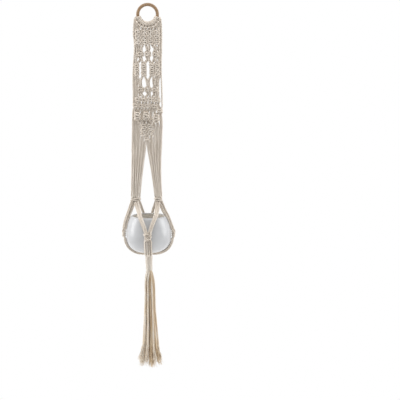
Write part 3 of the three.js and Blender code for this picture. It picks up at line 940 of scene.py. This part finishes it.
def glaze_material():
    material, tree, shader = new_material("pot_glaze", 0.3)
    where = tree.nodes.new("ShaderNodeTexCoord").outputs["Object"]
    cloud = noise(tree, where, Scale=22.0, Detail=3.0)
    speck = noise(tree, where, Scale=900.0, Detail=2.0)
    tone = ramp(tree, cloud, [(0.35, (0.46, 0.465, 0.475)), (0.65, (0.51, 0.515, 0.525))])
    specks = ramp(tree, speck, [(0.27, (0.72, 0.70, 0.66)), (0.31, PLAIN)])
    tree.links.new(blend_colours(tree, tone, specks), shader.inputs["Base Color"])
    tree.links.new(scaled(tree, cloud, 0.16, 0.24), shader.inputs["Roughness"])
    add_bump(tree, shader, cloud, 0.12, 0.0006)
    shader.inputs["Coat Weight"].default_value = 0.25
    shader.inputs["Coat Roughness"].default_value = 0.18
    return material


def bisque_material():
    """The unglazed inside and foot of the pot."""
    material, tree, shader = new_material("pot_bisque", 0.85)
    where = tree.nodes.new("ShaderNodeTexCoord").outputs["Object"]
    grit = noise(tree, where, Scale=420.0, Detail=4.0)
    stain = noise(tree, where, Scale=18.0, Detail=3.0)
    tone = ramp(tree, stain, [(0.3, (0.83, 0.80, 0.75)), (0.7, (0.90, 0.87, 0.82))])
    fine = ramp(tree, grit, [(0.3, (0.85, 0.84, 0.82)), (0.6, PLAIN)])
    tree.links.new(blend_colours(tree, tone, fine), shader.inputs["Base Color"])
    add_bump(tree, shader, grit, 0.4, 0.0003)
    return material


PLAIN = (1.0, 1.0, 1.0)
# The third colour of each cotton below is painted shade for the grooves between its plies.
cotton = cotton_material("cotton_cord", (0.90, 0.835, 0.76), (0.78, 0.705, 0.62), (0.48, 0.405, 0.325),
                         [(0.1, (0.88, 0.865, 0.845)), (0.9, PLAIN)], (0.86, 0.84, 0.81))
tassel_tints = [(0.12, (0.84, 0.73, 0.57)), (0.4, (0.92, 0.86, 0.77)), (0.6, PLAIN), (0.9, PLAIN)]
tassel_cotton = cotton_material("tassel_cotton", (0.94, 0.895, 0.83), (0.82, 0.74, 0.635),
                                (0.44, 0.345, 0.24), tassel_tints, (0.86, 0.765, 0.63))
wrap_cotton = cotton_material("wrap_cotton", (0.86, 0.81, 0.745), (0.76, 0.70, 0.625), (0.52, 0.45, 0.37),
                              [(0.1, PLAIN), (0.9, PLAIN)], (0.93, 0.92, 0.90))
wood = wood_material()
glaze = glaze_material()
bisque = bisque_material()

# ------------ pieces


# Heights in metres at the ends of the sections that span two bodies.
RING_BEND = (-0.058, -0.080)
APEX_BEND = (-0.428, LEG_SPLIT * MM)
LEG_TWIST = (LEG_SPLIT * MM, -0.588)
WRAP_BEND = (-0.763, -0.777)
TASSEL_BEND = (-0.816, -0.850)

bodies = frame["record"]["behaviour"]["bodies"]
body_of_node = {node: body for body, nodes in bodies.items() for node in nodes}


def stand_for(obj, body, node):
    """A piece that rides on one body, in place of one CAD node."""
    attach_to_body(obj, body)
    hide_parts(node)


def bend(obj, upper, lower, heights):
    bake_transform(obj)


def attach(label, obj):
    """Puts a piece on its body; a piece that spans a joint only has its transform baked into its mesh."""
    node = label.replace("_lower", "")
    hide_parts(node)
    if label.startswith(("larks_head", "square_knots_a", "outer_strands")):
        bend(obj, "ring", "panel", RING_BEND)
    elif label in ("lattice_left", "lattice_right", "leg_left", "leg_right"):
        bend(obj, "panel", "legs", APEX_BEND)
    elif label.endswith("_lower"):
        bend(obj, "legs", "cradle", LEG_TWIST)
    elif label == "bottom_gather":
        bend(obj, "cradle", "wrap", WRAP_BEND)
    else:
        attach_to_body(obj, body_of_node[node])


for strand in strands:
    lay(strand)
for label, pile in piles.items():
    attach(label, pile.build(f"cord_{label}", cotton))


def make_ring():
    """The wooden ring: a round bar bent to a circle, a little uneven in thickness."""
    pile = Pile()
    turns = np.linspace(0, 2 * math.pi, 121)
    bar = np.linspace(0, 2 * math.pi, 28, endpoint=False)
    thick = (RING_BAR * (1 + 0.012 * np.sin(3 * turns + 0.7) + 0.008 * np.sin(7 * turns)))[:, None]
    reach = RING_RADIUS + thick * np.cos(bar)
    points = np.stack([
        reach * np.sin(turns)[:, None], thick * np.sin(bar) * np.ones_like(reach),
        RING_Z + reach * np.cos(turns)[:, None],
    ], 2)
    pile.tube(points[:-1], turns * RING_RADIUS, loop=True)
    stand_for(pile.build("ring", wood), "ring", "wood_ring")


make_ring()


def make_pot():
    """The pot, turned from one profile: foot, outside, lip, inside. The inside and the foot are unglazed."""
    wall = 5.0
    rim_z = -647.0
    outer = [(0, POT_BOTTOM + 1.2), (26, POT_BOTTOM + 1.2), (28, POT_BOTTOM), (33.5, POT_BOTTOM)]
    outer += [(pot_radius(z), z) for z in (-758.2, -757, -755, -752, -748, -743, -737, -730, -722, -714)]
    outer += [(pot_radius(z), z) for z in np.linspace(POT_BELLY, rim_z - 3, 14)]
    lip = [(55.3, -648.6), (54.8, -647.4), (53.6, -646.9), (52.2, -646.9), (51.0, -647.5), (50.4, -648.8)]
    inner = [(pot_radius(z) - wall, z) for z in np.linspace(rim_z - 4, POT_BELLY, 12)]
    inner += [(pot_radius(z) - wall, z) for z in (-714, -722, -730, -737, -742)]
    inner += [(50.0, -746.5), (44, -750.6), (36, -752.6), (20, -753), (0, -753)]
    profile = outer + lip + inner
    sides = 96
    mesh = bpy.data.meshes.new("pot_body")
    points, faces, unglazed, rows = [], [], [], []
    for r, z in profile:
        if r == 0:
            rows.append([len(points)])
            points.append((0, 0, z))
            continue
        row = []
        for k in range(sides):
            a = 2 * math.pi * k / sides
            true = r * (1 + 0.0022 * math.sin(2 * a + 0.6) + 0.0012 * math.sin(5 * a + z / 30))
            row.append(len(points))
            points.append((true * math.cos(a), true * math.sin(a), z))
        rows.append(row)
    foot_rows = 3
    glazed_to = len(outer) + len(lip) - 2
    for j, (a, b) in enumerate(zip(rows[:-1], rows[1:])):
        bare = j > glazed_to or j < foot_rows
        for k in range(sides):
            k2 = (k + 1) % sides
            if len(a) == 1:
                faces.append((a[0], b[k2], b[k]))
            elif len(b) == 1:
                faces.append((a[k], a[k2], b[0]))
            else:
                faces.append((a[k], a[k2], b[k2], b[k]))
            unglazed.append(1 if bare else 0)
    mesh.from_pydata([tuple(c * MM for c in p) for p in points], [], faces)
    mesh.materials.append(glaze)
    mesh.materials.append(bisque)
    mesh.polygons.foreach_set("material_index", unglazed)
    mesh.polygons.foreach_set("use_smooth", [True] * len(faces))
    stand_for(new_object("pot_body", mesh), "pot", "pot")


make_pot()



def make_wrap():
    """The gathering wrap: one cord wound round all the strands."""
    coils, points_per_coil = 12, 10
    top, bottom = -771.2, -818.4
    keys = []
    for k in range(coils * points_per_coil + 1):
        t = k / (coils * points_per_coil)
        z = top - t * (top - bottom)
        radius = 9.6 - 1.2 * t
        a = 2 * math.pi * coils * t + 0.6
        keys.append((lean(z) + radius * math.cos(a), radius * math.sin(a), z))
    pile = Pile()
    pile.tube(*sweep(smooth(keys, 3), 0.0, 0.0, radius=2.25, relief=0.05, pitch=22))
    stand_for(pile.build("wrap_coils", wrap_cotton), "wrap", "gathering_wrap")


make_wrap()

# Tassel: twenty free strands, each untwisting into fibres at its end.

WISPS = 52              # loose bundles of fibres at each end
FRAY_RINGS = 8
FRINGE_BOTTOM = -1130
TASSEL_LENGTH = 3000    # length from the ring to where the tassel's stretch of a strand is counted from
FRAY_LENGTH = 3400      # the same for its loose fibres


def fray(number, tip, direction):
    """The loose fibres at the end of a strand, which lean outward and hang down."""
    pile = Pile()
    outward = np.array([tip[0] - WRAP_LEAN - 1.2, tip[1], 0.0])
    outward /= max(np.linalg.norm(outward), 1e-6)
    for w in range(WISPS):
        length = rng.uniform(22, 50) if w % 4 else rng.uniform(10, 24)
        thick = rng.uniform(0.5, 1.0) if w % 6 else 1.5
        a, r = rng.uniform(0, 6.28), 2.4 * math.sqrt(rng.random())
        start = tip + np.array([r * math.cos(a), r * math.sin(a), rng.uniform(2, 18)])
        drift = direction + outward * rng.uniform(-0.06, 0.30) + np.array([jitter(0.16), jitter(0.16), 0])
        drift /= np.linalg.norm(drift)
        bend = np.array([jitter(3.4), jitter(3.4), 0])
        line = []
        for k in range(FRAY_RINGS):
            t = k / (FRAY_RINGS - 1)
            p = start + drift * length * t + bend * math.sin(4.2 * t + a) * t
            p[2] = max(p[2], FRINGE_BOTTOM + 3 * (1 - t) + 2 * (w % 3))
            line.append(p)
        line = np.array(line)
        normal, side = frames(line)
        ring = np.arange(4) * math.pi / 2 + a
        taper = thick * (1 - 0.75 * np.linspace(0, 1, FRAY_RINGS) ** 1.6)[:, None, None]
        rings = line[:, None] + taper * (np.cos(ring)[None, :, None] * normal[:, None]
                                         + np.sin(ring)[None, :, None] * side[:, None])
        pile.tube(rings, np.linspace(0, length, FRAY_RINGS) + FRAY_LENGTH + 20 * w + STRAND_OFFSET * number)
    obj = pile.build(f"frayed_end_{number + 1:02d}", tassel_cotton)
    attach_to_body(obj, "tassel")
    return obj


def tassel_swell(count):
    """A free strand loosens down its length, and thins out where it opens into fibres."""
    return np.interp(np.linspace(0, 1, count), [0, 0.5, 0.9, 0.97, 1], [0.9, 1.08, 1.25, 1.05, 0.6])


for number, free in tassel_lines.items():
    line, marks, length = even_line(free.keys)
    rings, along = sweep(line, rng.uniform(0, 6.28), STRAND_OFFSET * number + TASSEL_LENGTH,
                         CORD_RADIUS * rng.uniform(0.97, 1.05) * tassel_swell(len(marks)))
    pile = Pile()
    pile.tube(rings, along)
    obj = pile.build(f"tassel_strand_{number + 1:02d}", tassel_cotton)
    end = line[-1] - line[-6]
    frayed = fray(number, line[-1], end / np.linalg.norm(end))
    bend(obj, "wrap", "tassel", TASSEL_BEND)
    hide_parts("tassel")

# ------------ floor and light


def make_floor():
    mesh = bpy.data.meshes.new("floor")
    z, half = -2.4, 3.0
    corners = [(-half, -half, z), (half, -half, z), (half, half, z), (-half, half, z)]
    mesh.from_pydata(corners, [], [(0, 1, 2, 3)])
    material, _, shader = new_material("floor", 0.9)
    shader.inputs["Base Color"].default_value = (0.3, 0.3, 0.3, 1)
    shader.inputs["Emission Color"].default_value = (1, 1, 1, 1)
    shader.inputs["Emission Strength"].default_value = 1.0
    mesh.materials.append(material)
    new_object("floor", mesh)


def area_light(name, location, target, size, power):
    data = bpy.data.lights.new(name, "AREA")
    data.shape = "RECTANGLE"
    data.size, data.size_y = size
    data.energy = power
    light = new_object(name, data)
    light.location = location
    direction = Vector(target) - Vector(location)
    light.rotation_euler = direction.to_track_quat("-Z", "Y").to_euler()


def make_light():
    world = bpy.data.worlds.new("studio")
    scene.world = world
    world.use_nodes = True
    nodes, links = world.node_tree.nodes, world.node_tree.links
    background = nodes["Background"]
    background.inputs[0].default_value = (1, 1, 1, 1)
    # A white wall behind the planter and a darker room behind the camera.
    where = nodes.new("ShaderNodeTexCoord")
    split = nodes.new("ShaderNodeSeparateXYZ")
    links.new(where.outputs["Generated"], split.inputs[0])
    wall = nodes.new("ShaderNodeMapRange")
    for name, value in (("From Min", -0.6), ("From Max", 0.8), ("To Min", 0.52), ("To Max", 1.15)):
        wall.inputs[name].default_value = value
    links.new(split.outputs[1], wall.inputs["Value"])
    path = nodes.new("ShaderNodeLightPath")
    mix = nodes.new("ShaderNodeMix")
    links.new(path.outputs["Is Camera Ray"], mix.inputs[0])
    links.new(wall.outputs[0], mix.inputs[2])
    mix.inputs[3].default_value = 1.0
    links.new(mix.outputs[0], background.inputs[1])
    middle = (0, 0, -0.6)
    area_light("left_box", (-3.0, 0.0, 0.2), middle, (1.6, 2.6), 62)
    area_light("right_box", (3.0, 0.1, 0.1), middle, (1.4, 2.6), 46)
    area_light("top_box", (0.0, -0.9, 1.7), middle, (1.8, 1.4), 26)
    scene.view_settings.view_transform = "Standard"
    scene.view_settings.look = "None"


make_floor()
make_light()
